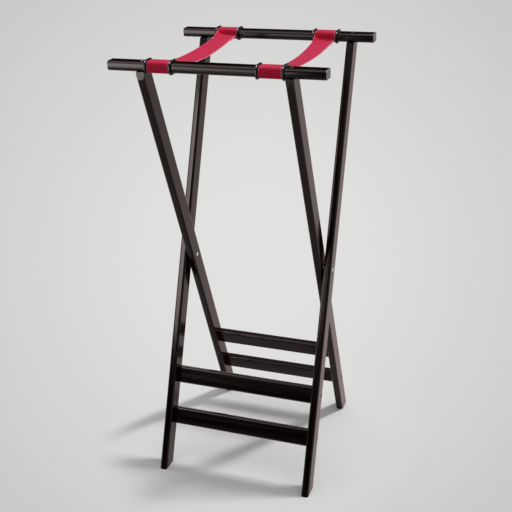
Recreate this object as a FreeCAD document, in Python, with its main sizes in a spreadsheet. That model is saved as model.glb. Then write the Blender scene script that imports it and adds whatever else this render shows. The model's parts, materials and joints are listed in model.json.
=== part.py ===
import FreeCAD, Part
import os
import Sketcher

# Folding tray stand: two leg frames that cross and turn on a pair of pivots at mid height, a rail on
# top of each frame, and two webbing straps that hold the rails apart.
# X runs along the rails, the front of the stand faces -Y and Z is up from the floor, in millimetres.
# The inner frame carries the front rail and stands on the back feet; the outer frame is its opposite.

doc = FreeCAD.newDocument("folding_tray_stand")
os.makedirs("parts", exist_ok=True)

driving_sizes = (
    ("stand_height", "965", "floor to the top of both rails"),
    ("spread", "374", "front to back between the rail centres, and between the foot centres"),
    ("rail_length", "452", "rail, end to end"),
    ("rail_depth", "30", "rail, front to back"),
    ("rail_height", "20", "rail, underside to top"),
    ("rail_edge_radius", "6", "round of the rail's long edges"),
    ("rail_end_radius", "1.2", "eased edge round the rail's ends"),
    ("leg_thickness", "17.2", "leg, across the stand"),
    ("leg_depth", "39.5", "leg, front to back, square to its length"),
    ("leg_edge_radius", "5", "round of the leg's long edges"),
    ("slat_width", "40", "slat, along the legs"),
    ("slat_thickness", "17", "slat, front to back"),
    ("slat_edge_radius", "5", "round of the slat's long edges"),
    ("slat_recess", "20", "slat front face behind the leg front face"),
    ("front_slat_reach", "220", "floor to the upper front slat, along the outer legs"),
    ("back_slat_reach", "208.5", "floor to the upper back slat, along the inner legs"),
    ("slat_pitch", "98.5", "between the slats of a pair, along the legs"),
    ("washer_thickness", "2.5", "spacer washer between the crossing legs"),
    ("washer_diameter", "20", "spacer washer, outside"),
    ("washer_play", "0.4", "washer bore over the pivot barrel, on diameter"),
    ("pivot_play", "0.1", "end play of the outer legs on the pivots"),
    ("barrel_diameter", "8", "pivot barrel that the legs turn on"),
    ("running_clearance", "0.05", "pivot barrel to its bores, on radius"),
    ("pivot_head_diameter", "10", "heads of the pivot nut and bolt"),
    ("pivot_head_thickness", "3", "heads of the pivot nut and bolt"),
    ("head_clearance", "0.5", "pivot heads to the side of their recess, on radius"),
    ("head_proud", "1.5", "crown of the pivot heads above the leg face"),
    ("head_crown", "1.5", "rise of the pivot heads' domed face"),
    ("bolt_diameter", "6", "shank of the pivot bolt"),
    ("bolt_length", "22", "shank of the pivot bolt"),
    ("bolt_room", "0.4", "barrel bore past the end of the pivot bolt"),
    ("socket_corners", "4.6", "hexagon socket of the pivot heads, corner to corner"),
    ("socket_depth", "2", "hexagon socket of the pivot heads"),
    ("rail_screw_diameter", "4.5", "wood screw, rail to leg"),
    ("rail_screw_head", "9", "countersunk head of the rail screw"),
    ("rail_screw_length", "50", "rail screw, head to point"),
    ("slat_screw_diameter", "4", "wood screw, leg to slat"),
    ("slat_screw_head", "8", "countersunk head of the slat screw"),
    ("slat_screw_length", "45", "slat screw, head to point"),
    ("screw_point", "6", "tapered point of every wood screw"),
    ("screw_sink", "0.4", "screw head below the wood surface"),
    ("drive_width", "1.2", "bar of the cross recess in a screw head"),
    ("drive_reach", "4", "cross recess, tip to tip"),
    ("drive_depth", "1.4", "cross recess in a screw head"),
    ("fastener_clearance", "0.1", "screws and dowels to their holes, on radius"),
    ("dowel_diameter", "6", "dowel at a slat end"),
    ("dowel_length", "24", "dowel, end to end"),
    ("dowel_in_leg", "10", "part of the dowel inside the leg"),
    ("dowel_spacing", "24", "between the two dowels of a slat end"),
    ("ring_cord", "4.5", "round cord of the rubber rings"),
    ("ring_clearance", "0.1", "rubber ring to the rail"),
    ("ring_gap", "1.3", "rubber ring to the strap edge"),
    ("ring_leg_gap", "1.6", "outer rubber ring to the inside face of the inner leg"),
    ("strap_spacing", "232", "between the centres of the two straps"),
    ("strap_width", "46", "webbing, edge to edge"),
    ("strap_thickness", "1.6", "one ply of webbing"),
    ("strap_clearance", "0.1", "strap loop to the rail"),
    ("strap_exit", "8", "top of the strap above the rail underside, where it leaves the rail"),
    ("strap_sag", "10", "fall of the strap at mid span"),
    ("strap_tail", "34", "folded-back end sewn under the strap"),
)

derived_sizes = (
    ("seat_height", "sizes.stand_height - sizes.rail_height", "level top of the legs"),
    ("pivot_height", "seat_height / 2", "floor to the pivots"),
    ("lean", "atan(sizes.spread / seat_height)", "legs away from upright"),
    ("pivot_reach", "pivot_height / cos(lean)", "floor to the pivots, along the legs"),
    ("front_edge", "(sizes.spread + sizes.rail_depth) / 2", "outer face of a rail from the middle"),
    ("rail_axis", "sizes.stand_height - sizes.rail_height / 2", "floor to the rail centre"),
    ("slat_setback", "sizes.slat_recess + (sizes.slat_thickness - sizes.leg_depth) / 2",
     "slat centre behind the leg centre"),
    ("ring_offset", "sizes.strap_width / 2 + sizes.ring_gap + sizes.ring_cord / 2",
     "ring centre from the strap centre"),
    ("inner_leg_inside", "sizes.strap_spacing / 2 + ring_offset + sizes.ring_cord / 2 + sizes.ring_leg_gap",
     "inner leg, face to the middle"),
    ("inner_leg_x", "inner_leg_inside + sizes.leg_thickness / 2", "inner leg centre"),
    ("inner_leg_outside", "inner_leg_inside + sizes.leg_thickness", "inner leg, face to the washer"),
    ("outer_leg_inside", "inner_leg_outside + sizes.washer_thickness + sizes.pivot_play",
     "outer leg, face to the washer"),
    ("outer_leg_x", "outer_leg_inside + sizes.leg_thickness / 2", "outer leg centre"),
    ("outer_leg_outside", "outer_leg_inside + sizes.leg_thickness", "outer leg, outside face"),
    ("recess_diameter", "sizes.pivot_head_diameter + 2 * sizes.head_clearance", "recess for a pivot head"),
    ("recess_depth", "sizes.pivot_head_thickness - sizes.head_proud", "recess for a pivot head"),
    ("crown_radius", "((sizes.pivot_head_diameter / 2) ^ 2 + sizes.head_crown ^ 2) / (2 * sizes.head_crown)",
     "curve of the pivot heads' domed face"),
    ("nut_seat", "inner_leg_inside + recess_depth", "floor of the inner leg's recess"),
    ("bolt_seat", "outer_leg_outside - recess_depth + sizes.pivot_play",
     "end of the barrel, just proud of the outer leg's recess floor"),
    ("span_half", "(sizes.spread - sizes.rail_depth) / 2 - sizes.strap_clearance - sizes.strap_thickness",
     "half the strap between its loops"),
    ("span_radius", "(span_half ^ 2 + sizes.strap_sag ^ 2) / (2 * sizes.strap_sag)", "curve of the strap"),
    ("span_centre", "seat_height + sizes.strap_exit - sizes.strap_sag + span_radius",
     "centre of the strap's curve above the floor"),
)


def fill_sheet(name, rows, lead):
    sheet = doc.addObject("Spreadsheet::Sheet", name)
    for number, (alias, content, note) in enumerate(rows, start=1):
        sheet.set(f"A{number}", note)
        sheet.set(f"B{number}", lead + content)
        sheet.setAlias(f"B{number}", alias)
    return sheet


fill_sheet("sizes", driving_sizes, "")
doc.recompute()
fill_sheet("layout", derived_sizes, "=")
doc.recompute()

upright = FreeCAD.Rotation()
along_x = FreeCAD.Rotation(FreeCAD.Vector(0, 1, 0), 90)
across = FreeCAD.Vector(1, 0, 0)
flatness = 0.001


def bind(item, **expressions):
    for name, expression in expressions.items():
        item.setExpression(name, expression)


def place(item, x, y, z, turn=upright):
    item.Placement = FreeCAD.Placement(FreeCAD.Vector(), turn)
    for axis, expression in zip("xyz", (x, y, z)):
        item.setExpression(f"Placement.Base.{axis}", expression)
    return item


def box(name, length, width, height, x, y, z):
    item = doc.addObject("Part::Box", name)
    bind(item, Length=length, Width=width, Height=height)
    return place(item, x, y, z)


def cylinder(name, diameter, height, x, y, z, turn=along_x):
    item = doc.addObject("Part::Cylinder", name)
    bind(item, Radius=f"({diameter}) / 2", Height=height)
    return place(item, x, y, z, turn)


def cone(name, lower, upper, height, z):
    item = doc.addObject("Part::Cone", name)
    bind(item, Radius1=f"({lower}) / 2", Radius2=f"({upper}) / 2", Height=height)
    return place(item, "0", "0", z)


def fused(name, pieces):
    item = doc.addObject("Part::MultiFuse", name)
    item.Shapes = pieces
    return item


def shared(name, base, tool):
    item = doc.addObject("Part::Common", name)
    item.Base = base
    item.Tool = tool
    return item


def cut(name, base, tool):
    item = doc.addObject("Part::Cut", name)
    item.Base = base
    item.Tool = tool
    return item


def mirrored(name, source):
    item = doc.addObject("Part::Mirroring", name)
    item.Source = source
    item.Normal = across
    return item


def pair(name, source):
    # Right-hand piece and its mirror image as one group.
    item = doc.addObject("Part::Compound", name)
    item.Links = [source, mirrored(name + "_left", source)]
    return item


def new_sketch(body, name, role):
    sketch = body.newObject("Sketcher::SketchObject", name)
    plane = next(item for item in body.Origin.OriginFeatures if item.Role == role)
    sketch.AttachmentSupport = [(plane, "")]
    sketch.MapMode = "FlatFace"
    return sketch


def rounded_outline(sketch, label, width, height, radius):
    # Rectangle centred on the sketch origin: four sides, each followed by a corner arc.
    half_width = sketch.evalExpression(width) / 2
    half_height = sketch.evalExpression(height) / 2
    corner = sketch.evalExpression(radius)
    flat_width = half_width - corner
    flat_height = half_height - corner
    ends = (
        ((-flat_width, -half_height), (flat_width, -half_height)),
        ((half_width, -flat_height), (half_width, flat_height)),
        ((flat_width, half_height), (-flat_width, half_height)),
        ((-half_width, flat_height), (-half_width, -flat_height)),
    )
    centres = ((flat_width, -flat_height), (flat_width, flat_height),
               (-flat_width, flat_height), (-flat_width, -flat_height))
    quarter = FreeCAD.Units.Quantity("90 deg").getValueAs("rad").Value
    sides = []
    arcs = []
    for number, (start, end) in enumerate(ends):
        line = Part.LineSegment(FreeCAD.Vector(*start, 0), FreeCAD.Vector(*end, 0))
        sides.append(sketch.addGeometry(line, False))
        circle = Part.Circle(FreeCAD.Vector(*centres[number], 0), FreeCAD.Vector(0, 0, 1), corner)
        arc = Part.ArcOfCircle(circle, (number - 1) * quarter, number * quarter)
        arcs.append(sketch.addGeometry(arc, False))
    for number, arc in enumerate(arcs):
        following = sides[(number + 1) % len(sides)]
        sketch.addConstraint(Sketcher.Constraint("Tangent", sides[number], 2, arc, 1))
        sketch.addConstraint(Sketcher.Constraint("Tangent", arc, 2, following, 1))
    for number, side in enumerate(sides):
        direction = "Vertical" if number % 2 else "Horizontal"
        sketch.addConstraint(Sketcher.Constraint(direction, side))
    for arc in arcs[1:]:
        sketch.addConstraint(Sketcher.Constraint("Equal", arcs[0], arc))
    sketch.addConstraint(Sketcher.Constraint("Symmetric", arcs[0], 3, arcs[2], 3, -1, 1))
    measures = (
        ("width", Sketcher.Constraint("DistanceX", sides[3], 1, sides[1], 1, 2 * half_width), width),
        ("height", Sketcher.Constraint("DistanceY", sides[0], 1, sides[2], 1, 2 * half_height), height),
        ("corner", Sketcher.Constraint("Radius", arcs[0], corner), radius),
    )
    for measure, constraint, expression in measures:
        index = sketch.addConstraint(constraint)
        sketch.renameConstraint(index, f"{label}_{measure}")
        sketch.setExpression(f"Constraints.{label}_{measure}", expression)


def rounded_bar(name, role, length, outlines, end_radius=None):
    # Bar about its own centre; a second outline inside the first makes it a sleeve.
    body = doc.addObject("PartDesign::Body", name)
    sketch = new_sketch(body, name + "_section", role)
    for label, measures in outlines.items():
        rounded_outline(sketch, label, *measures)
    doc.recompute()
    pad = body.newObject("PartDesign::Pad", name + "_length")
    pad.Profile = sketch
    pad.SideType = "Symmetric"
    bind(pad, Length=length)
    body.Tip = pad
    doc.recompute()
    if end_radius:
        ease = body.newObject("PartDesign::Fillet", name + "_ends")
        ease.Base = (pad, [f"Edge{number}" for number, edge in enumerate(pad.Shape.Edges, start=1)
                           if edge.BoundBox.XLength < flatness])
        bind(ease, Radius=end_radius)
        body.Tip = ease
        doc.recompute()
    return body


def frame_point(sign, setback, drop):
    # Place on a leaning leg: setback behind the leg centre, drop below the pivot along the leg.
    y = f"({setback}) * cos(layout.lean) + ({sign}) * ({drop}) * sin(layout.lean)"
    z = f"layout.pivot_height + ({sign}) * ({setback}) * sin(layout.lean) - ({drop}) * cos(layout.lean)"
    return y, z


def wood_screw(name, kind, x, y, z, turn):
    # Countersunk screw that points down from the origin before it is turned, with a cross recess.
    shank = f"sizes.{kind}_diameter"
    head = f"sizes.{kind}_head"
    length = f"sizes.{kind}_length"
    taper = f"({head} - {shank}) / 2"
    solid = fused(name + "_solid", [
        cone(name + "_head", shank, head, taper, f"-({taper})"),
        cylinder(name + "_shank", shank, f"{length} - sizes.screw_point", "0", "0",
                 f"sizes.screw_point - {length}", upright),
        cone(name + "_point", "0", shank, "sizes.screw_point", f"-{length}"),
    ])
    bars = [("sizes.drive_reach", "sizes.drive_width"), ("sizes.drive_width", "sizes.drive_reach")]
    recess = fused(name + "_recess", [
        box(f"{name}_bar_{number}", wide, deep, "sizes.drive_depth",
            f"-{wide} / 2", f"-{deep} / 2", "-sizes.drive_depth")
        for number, (wide, deep) in enumerate(bars)
    ])
    return place(cut(name, solid, recess), x, y, z, turn)


def screw_hole(name, kind, x, y, z, turn):
    # The room a wood screw needs: sinking for the head, taper and bore, each with clearance.
    room = "2 * sizes.fastener_clearance"
    bore = f"sizes.{kind}_diameter + {room}"
    mouth = f"sizes.{kind}_head + {room}"
    taper = f"(sizes.{kind}_head - sizes.{kind}_diameter) / 2"
    deep = f"sizes.{kind}_length + sizes.fastener_clearance"
    return place(fused(name, [
        cylinder(name + "_mouth", mouth, "2 * sizes.screw_sink", "0", "0", "0", upright),
        cone(name + "_taper", bore, mouth, taper, f"-({taper})"),
        cylinder(name + "_bore", bore, deep, "0", "0", f"-({deep})", upright),
    ]), x, y, z, turn)


rail_section = ("sizes.rail_depth", "sizes.rail_height", "sizes.rail_edge_radius")
slat_section = ("sizes.slat_width", "sizes.slat_thickness", "sizes.slat_edge_radius")
leg_section = ("sizes.leg_thickness", "sizes.leg_depth", "sizes.leg_edge_radius")

# One entry for each frame: its side of the crossing, its legs, its rail and the slats near its feet.
frames = (
    {"legs": "inner", "sign": "1", "lean_axis": across, "rail": "front", "rail_y": "-sizes.spread / 2",
     "slats": "back", "trim_y": "-layout.front_edge"},
    {"legs": "outer", "sign": "-1", "lean_axis": -across, "rail": "back", "rail_y": "sizes.spread / 2",
     "slats": "front", "trim_y": "-sizes.spread"},
)

nodes = []

for frame in frames:
    legs = frame["legs"]
    rail = frame["rail"]
    slats = frame["slats"]
    sign = frame["sign"]
    leg_x = f"layout.{legs}_leg_x"
    leg_inside = f"layout.{legs}_leg_inside"
    leg_outside = f"layout.{legs}_leg_outside"
    lean_turn = FreeCAD.Rotation(frame["lean_axis"], doc.layout.lean.Value)

    # Rail, held down on each leg by one screw from above.
    screw_z = "sizes.stand_height - sizes.screw_sink"
    rail_hole = screw_hole(f"{rail}_rail_hole", "rail_screw", leg_x, frame["rail_y"], screw_z, upright)
    rail_bar = rounded_bar(f"{rail}_rail_bar", "YZ_Plane", "sizes.rail_length", {"edge": rail_section},
                           "sizes.rail_end_radius")
    place(rail_bar, "0", frame["rail_y"], "layout.rail_axis")
    rail_holes = fused(f"{rail}_rail_holes", [rail_hole, mirrored(f"{rail}_rail_hole_left", rail_hole)])
    nodes.append(cut(f"{rail}_rail", rail_bar, rail_holes))
    rail_screw = wood_screw(f"{rail}_rail_screw", "rail_screw", leg_x, frame["rail_y"], screw_z, upright)
    nodes.append(pair(f"{rail}_rail_screws", rail_screw))

    # Two slats between the legs, each end on two dowels and one screw through the leg.
    leg_tools = [rail_hole]
    screws = []
    dowels = []
    reach = f"sizes.{slats}_slat_reach"
    for level, height in (("upper", reach), ("lower", f"{reach} - sizes.slat_pitch")):
        slat = f"{slats}_{level}_slat"
        drop = f"layout.pivot_reach - ({height})"
        slat_y, slat_z = frame_point(sign, "layout.slat_setback", drop)
        head_x = f"{leg_outside} - sizes.screw_sink"
        end_tools = [screw_hole(f"{slat}_hole", "slat_screw", head_x, slat_y, slat_z, along_x)]
        screws.append(wood_screw(f"{slat}_screw", "slat_screw", head_x, slat_y, slat_z, along_x))
        for place_name, shift in (("high", "-sizes.dowel_spacing / 2"), ("low", "sizes.dowel_spacing / 2")):
            dowel_y, dowel_z = frame_point(sign, "layout.slat_setback", f"{drop} + ({shift})")
            dowel_x = f"{leg_inside} + sizes.dowel_in_leg - sizes.dowel_length"
            dowels.append(cylinder(f"{slat}_dowel_{place_name}", "sizes.dowel_diameter",
                                   "sizes.dowel_length", dowel_x, dowel_y, dowel_z))
            end_tools.append(cylinder(f"{slat}_dowel_hole_{place_name}",
                                      "sizes.dowel_diameter + 2 * sizes.fastener_clearance",
                                      "sizes.dowel_length + 2 * sizes.fastener_clearance",
                                      f"{dowel_x} - sizes.fastener_clearance", dowel_y, dowel_z))
        slat_bar = rounded_bar(f"{slat}_bar", "YZ_Plane", f"2 * {leg_inside}",
                               {"edge": (slat_section[1], slat_section[0], slat_section[2])})
        place(slat_bar, "0", slat_y, slat_z, lean_turn)
        bind(slat_bar, **{"Placement.Rotation.Angle": "layout.lean"})
        end_tool = fused(f"{slat}_end_tools", end_tools)
        both_ends = fused(f"{slat}_tools", [end_tool, mirrored(f"{slat}_end_tools_left", end_tool)])
        nodes.append(cut(slat, slat_bar, both_ends))
        leg_tools.append(end_tool)
    for kind, pieces in (("screws", screws), ("dowels", dowels)):
        group = doc.addObject("Part::Compound", f"{slats}_slat_{kind}_right")
        group.Links = pieces
        nodes.append(pair(f"{slats}_slat_{kind}", group))

    # Leg: a leaning bar cut level at the floor and under the rail, and flush with the rail's outer face.
    recess_x = {"inner": leg_inside, "outer": f"{leg_outside} - layout.recess_depth"}[legs]
    leg_tools.append(cylinder(f"{legs}_pivot_bore", "sizes.barrel_diameter + 2 * sizes.running_clearance",
                              "sizes.leg_thickness", leg_inside, "0", "layout.pivot_height"))
    leg_tools.append(cylinder(f"{legs}_pivot_recess", "layout.recess_diameter", "layout.recess_depth",
                              recess_x, "0", "layout.pivot_height"))
    leg_bar = rounded_bar(f"{legs}_leg_bar", "XY_Plane", "2 * (layout.pivot_reach + sizes.leg_depth)",
                          {"edge": leg_section})
    place(leg_bar, leg_x, "0", "layout.pivot_height", lean_turn)
    bind(leg_bar, **{"Placement.Rotation.Angle": "layout.lean"})
    envelope = box(f"{legs}_leg_envelope", "layout.outer_leg_outside", "layout.front_edge + sizes.spread",
                   "layout.seat_height", "0", frame["trim_y"], "0")
    trimmed = shared(f"{legs}_leg_trimmed", leg_bar, envelope)
    right_leg = cut(f"right_{legs}_leg", trimmed, fused(f"{legs}_leg_tools", leg_tools))
    nodes.append(right_leg)
    nodes.append(mirrored(f"left_{legs}_leg", right_leg))

# Pivot: a shouldered barrel nut from the inside and a socket bolt from the outside, and a spacer washer.
barrel_length = "layout.bolt_seat - layout.nut_seat"
head_start = "layout.nut_seat - sizes.pivot_head_thickness"
bolt_end = "layout.bolt_seat - sizes.bolt_length"
pivot = ("0", "layout.pivot_height")


def hexagon(name, x):
    item = doc.addObject("Part::Prism", name)
    bind(item, Circumradius="sizes.socket_corners / 2", Height="sizes.socket_depth")
    return place(item, x, *pivot, along_x)


def domed_head(name, start, ball_x):
    disc = cylinder(name + "_disc", "sizes.pivot_head_diameter", "sizes.pivot_head_thickness", start, *pivot)
    ball = doc.addObject("Part::Sphere", name + "_ball")
    bind(ball, Radius="layout.crown_radius")
    return shared(name, disc, place(ball, ball_x, *pivot))


nut_solid = fused("pivot_nut_solid", [
    domed_head("pivot_nut_head", head_start, f"{head_start} + layout.crown_radius"),
    cylinder("pivot_barrel", "sizes.barrel_diameter", barrel_length, "layout.nut_seat", *pivot),
])
nut_tools = fused("pivot_nut_tools", [
    hexagon("pivot_nut_socket", head_start),
    cylinder("pivot_barrel_bore", "sizes.bolt_diameter + 2 * sizes.running_clearance",
             "sizes.bolt_length + sizes.bolt_room", f"{bolt_end} - sizes.bolt_room", *pivot),
])
bolt_solid = fused("pivot_bolt_solid", [
    domed_head("pivot_bolt_head", "layout.bolt_seat",
               "layout.bolt_seat + sizes.pivot_head_thickness - layout.crown_radius"),
    cylinder("pivot_bolt_shank", "sizes.bolt_diameter", "sizes.bolt_length", bolt_end, *pivot),
])
bolt_socket = hexagon("pivot_bolt_socket",
                      "layout.bolt_seat + sizes.pivot_head_thickness - sizes.socket_depth")
washer_disc = cylinder("pivot_washer_disc", "sizes.washer_diameter", "sizes.washer_thickness",
                       "layout.inner_leg_outside", *pivot)
washer_bore = cylinder("pivot_washer_bore", "sizes.barrel_diameter + sizes.washer_play",
                       "sizes.washer_thickness", "layout.inner_leg_outside", *pivot)
for name, solid, tool in (("pivot_nut", nut_solid, nut_tools), ("pivot_bolt", bolt_solid, bolt_socket),
                          ("pivot_washer", washer_disc, washer_bore)):
    right_piece = cut("right_" + name, solid, tool)
    nodes.append(right_piece)
    nodes.append(mirrored("left_" + name, right_piece))

# Strap loop round each rail, with a rubber ring on either side of it.
loop_outlines = {
    "outside": tuple(f"{size} + 2 * (sizes.strap_clearance + sizes.strap_thickness)" for size in rail_section[:2])
    + (f"{rail_section[2]} + sizes.strap_clearance + sizes.strap_thickness",),
    "inside": tuple(f"{size} + 2 * sizes.strap_clearance" for size in rail_section[:2])
    + (f"{rail_section[2]} + sizes.strap_clearance",),
}
ring_outline = tuple(f"{size} + 2 * sizes.ring_clearance + sizes.ring_cord" for size in rail_section[:2]) \
    + (f"{rail_section[2]} + sizes.ring_clearance + sizes.ring_cord / 2",)


def rubber_ring(name, x, y, z):
    body = doc.addObject("PartDesign::Body", name)
    path = new_sketch(body, name + "_path", "YZ_Plane")
    rounded_outline(path, "path", *ring_outline)
    section = new_sketch(body, name + "_section", "XZ_Plane")
    reach = section.evalExpression(ring_outline[1]) / 2
    cord = section.evalExpression("sizes.ring_cord") / 2
    circle = section.addGeometry(Part.Circle(FreeCAD.Vector(0, -reach, 0), FreeCAD.Vector(0, 0, 1), cord), False)
    section.addConstraint(Sketcher.Constraint("PointOnObject", circle, 3, -2))
    measures = (
        ("reach", Sketcher.Constraint("DistanceY", circle, 3, -1, 1, reach), f"({ring_outline[1]}) / 2"),
        ("cord", Sketcher.Constraint("Radius", circle, cord), "sizes.ring_cord / 2"),
    )
    for measure, constraint, expression in measures:
        index = section.addConstraint(constraint)
        section.renameConstraint(index, measure)
        section.setExpression(f"Constraints.{measure}", expression)
    doc.recompute()
    pipe = body.newObject("PartDesign::AdditivePipe", name + "_pipe")
    pipe.Profile = section
    pipe.Spine = path
    body.Tip = pipe
    doc.recompute()
    return place(body, x, y, z)


strap_x = "sizes.strap_spacing / 2"
for frame in frames:
    rail = frame["rail"]
    loop = rounded_bar(f"right_{rail}_strap_loop", "YZ_Plane", "sizes.strap_width", loop_outlines)
    place(loop, strap_x, frame["rail_y"], "layout.rail_axis")
    nodes.append(loop)
    nodes.append(mirrored(f"left_{rail}_strap_loop", loop))
    for side, shift in (("outer", "+ layout.ring_offset"), ("inner", "- layout.ring_offset")):
        ring = rubber_ring(f"right_{rail}_{side}_ring", f"{strap_x} {shift}", frame["rail_y"], "layout.rail_axis")
        nodes.append(ring)
        nodes.append(mirrored(f"left_{rail}_{side}_ring", ring))

# Strap between the loops: one ply that sags on an arc, with a folded-back second ply under each end.
along_minus_x = FreeCAD.Rotation(FreeCAD.Vector(0, 1, 0), -90)
ply_surfaces = [
    cylinder(f"strap_surface_{plies}", f"2 * (layout.span_radius + {plies} * sizes.strap_thickness)",
             "sizes.strap_width", f"{strap_x} + sizes.strap_width / 2", "0", "layout.span_centre", along_minus_x)
    for plies in range(3)
]
one_ply = cut("strap_one_ply", ply_surfaces[1], ply_surfaces[0])
two_plies = cut("strap_two_plies", ply_surfaces[2], ply_surfaces[0])
span_depth = "sizes.strap_exit + sizes.strap_sag"
span_parts = (
    ("strap_web", one_ply, "-layout.span_half", "2 * layout.span_half"),
    ("strap_front_tail", two_plies, "-layout.span_half", "sizes.strap_tail"),
    ("strap_back_tail", two_plies, "layout.span_half - sizes.strap_tail", "sizes.strap_tail"),
)
right_span = fused("right_strap_span", [
    shared(name, ply, box(name + "_region", "sizes.strap_width", length, f"2 * ({span_depth})",
                          f"{strap_x} - sizes.strap_width / 2", start, f"layout.seat_height - ({span_depth})"))
    for name, ply, start, length in span_parts
])
nodes.append(right_span)
nodes.append(mirrored("left_strap_span", right_span))

doc.recompute()
for item in doc.Objects:
    if "Invalid" in item.State or "Error" in item.State:
        raise RuntimeError(f"{item.Label} did not recompute: {item.State}")
for node in nodes:
    if node.Shape.isNull() or not node.Shape.isValid():
        raise RuntimeError(f"{node.Label} has no valid shape")
    node.Shape.exportStep(f"parts/{node.Label}.step")
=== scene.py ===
import json
import math
import bmesh
import bpy
from mathutils import Matrix, Vector


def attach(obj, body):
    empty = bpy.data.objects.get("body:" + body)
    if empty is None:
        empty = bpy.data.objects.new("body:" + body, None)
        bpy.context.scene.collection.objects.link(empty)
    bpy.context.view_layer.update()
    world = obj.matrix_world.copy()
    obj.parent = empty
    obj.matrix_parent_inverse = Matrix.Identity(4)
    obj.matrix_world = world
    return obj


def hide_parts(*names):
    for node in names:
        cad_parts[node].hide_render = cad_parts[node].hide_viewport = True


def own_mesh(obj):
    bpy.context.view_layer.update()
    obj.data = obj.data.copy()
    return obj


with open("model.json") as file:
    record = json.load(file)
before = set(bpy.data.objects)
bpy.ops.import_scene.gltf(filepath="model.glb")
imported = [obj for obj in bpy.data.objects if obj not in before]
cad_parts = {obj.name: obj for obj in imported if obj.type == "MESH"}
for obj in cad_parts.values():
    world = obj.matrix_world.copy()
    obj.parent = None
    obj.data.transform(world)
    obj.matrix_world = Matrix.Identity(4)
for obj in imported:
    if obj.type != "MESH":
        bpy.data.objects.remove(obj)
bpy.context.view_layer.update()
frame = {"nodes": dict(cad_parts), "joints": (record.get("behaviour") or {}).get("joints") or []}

mm = 0.001
foldJoint = next(joint for joint in frame["joints"] if joint["name"] == "fold")
print("frame loaded:", len(frame["nodes"]), "nodes")


def toLinear(hexColour):
    shares = [int(hexColour[i:i + 2], 16) / 255 for i in (1, 3, 5)]
    return tuple(s / 12.92 if s <= 0.04045 else ((s + 0.055) / 1.055) ** 2.4 for s in shares) + (1.0,)


def addNode(tree, kind, inputs=None, stops=None, **settings):
    node = tree.nodes.new(kind)
    for name, value in settings.items():
        setattr(node, name, value)
    for socket, value in (inputs or {}).items():
        if isinstance(value, bpy.types.NodeSocket):
            tree.links.new(value, node.inputs[socket])
        else:
            node.inputs[socket].default_value = value
    if stops:  # positions and colours of a ramp
        elements = node.color_ramp.elements
        while len(elements) < len(stops):
            elements.new(1.0)
        for element, (position, colour) in zip(elements, stops):
            element.position = position
            element.color = toLinear(colour) if isinstance(colour, str) else colour
    return node


def newMaterial(name):
    material = bpy.data.materials.new(name)
    material.use_nodes = True
    material.node_tree.nodes.clear()
    return material, material.node_tree


# lacquered wood: espresso gloss over close-grained hardwood, black until it catches the pale floor
lacquer = dict(
    grain=[(0.14, "#070403"), (0.42, "#170d0a")], ior=1.28, roughness=(0.12, 0.24),
    poreWidth=1.1 * mm, poreLength=70 * mm,  # pores are 0.1 mm wide, drawn coarser so that they show
    poreBump=0.10, poreDepth=0.3 * mm,
    figureWidth=11 * mm, figureLength=320 * mm, figureRange=(0.3, 0.7),
    peel=5 * mm, peelBump=0.05, peelDepth=0.5 * mm,  # the slight orange peel of a sprayed coat
    filmTint="#ffedea", filmIor=1.1, filmRoughness=0.1,  # the amber film warms most at a low angle
    endGrainAndPaintedReflection=[(0.34, "#4e4742"), (0.6, "#8f8781")], endDulling=0.25,  # drinks the lacquer and dries duller; its pale grey is partly a painted reflection
    railEnd=225.4 * mm, railAxis=955 * mm, crownRadius=38 * mm,  # the rails' faces are sanded a little round
    legRun=374 * mm, legHeight=965 * mm,  # the grain leans with the legs
)


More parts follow.
